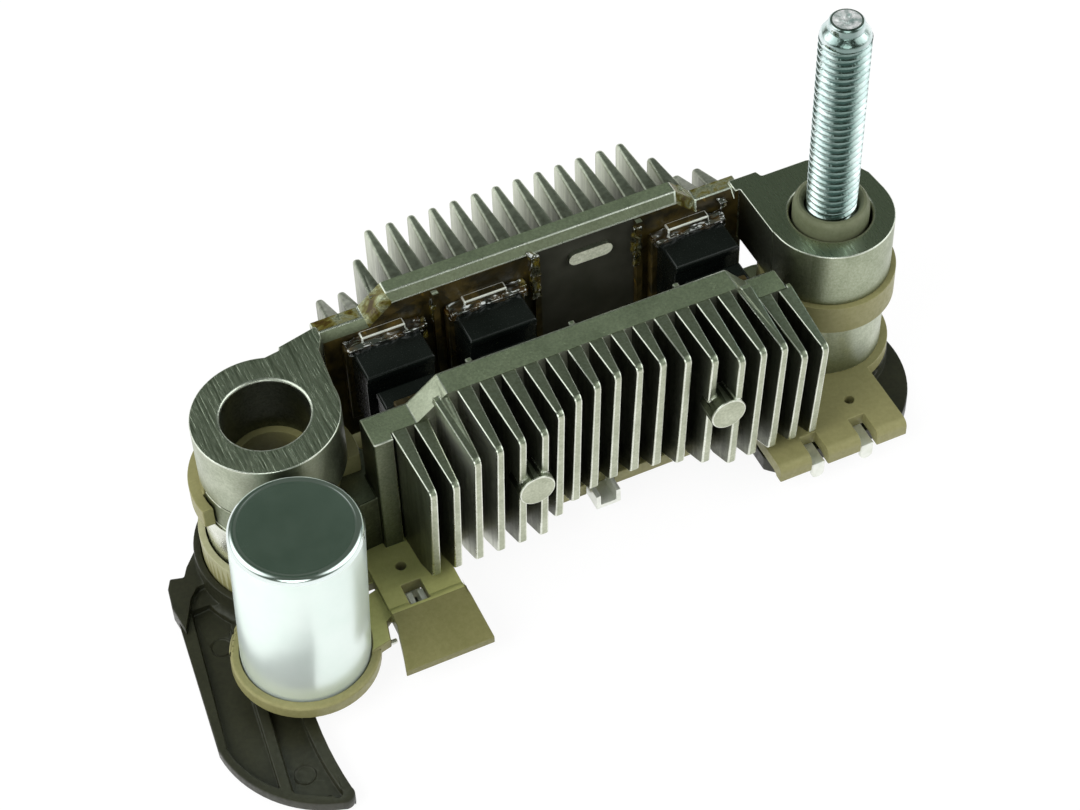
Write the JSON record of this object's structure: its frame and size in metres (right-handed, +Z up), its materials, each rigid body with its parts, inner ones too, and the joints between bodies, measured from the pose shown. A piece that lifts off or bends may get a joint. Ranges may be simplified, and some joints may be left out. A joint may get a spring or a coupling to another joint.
{
  "type": "alternator rectifier",
  "caption": "Finned diode bridge for a vehicle alternator: cast heat sinks, soldered diodes, threaded output stud, suppression capacitor and insulating plastic carriers.",
  "frame": {"origin": "on the output stud's axis, at the machined top face of the two mounting bosses", "axes": "+X from the left boss to the output stud, +Y from the capacitor side to the rear fins, +Z up along the stud"},
  "size_m": [0.1281, 0.0732, 0.0745],
  "materials": {
    "cast_aluminium": "as cast, machined on the boss tops",
    "plated_steel": "bright blue-white zinc plate",
    "tan_plastic": "glass-filled, fine moulded skin",
    "dark_plastic": "satin moulded",
    "drawn_can": "drawn, matt clear lacquer",
    "seal": "cast resin",
    "tinned_copper": "tinned copper",
    "diode_body": "moulded, varnished"
  },
  "bodies": {
    "root": {"rear_heat_sink": "cast_aluminium", "front_heat_sink": "cast_aluminium", "battery_stud": "plated_steel", "stud_bush": "tan_plastic", "right_insulating_ring": "tan_plastic", "left_insulating_bush": "tan_plastic", "terminal_plate": "tan_plastic", "base_moulding": "dark_plastic", "capacitor_can": "drawn_can", "capacitor_seal": "seal", "capacitor_leads": "tinned_copper", "rear_diode_left": "diode_body", "rear_diode_middle": "diode_body", "rear_diode_right": "diode_body", "front_diode_left": "diode_body", "front_diode_middle": "diode_body", "front_diode_right": "diode_body", "rear_spreaders": "tinned_copper", "front_spreaders": "tinned_copper", "rear_diode_leads": "tinned_copper", "front_diode_leads": "tinned_copper", "left_strip": "tinned_copper", "middle_strip": "tinned_copper", "right_strip": "tinned_copper"}
  },
  "joints": []
}
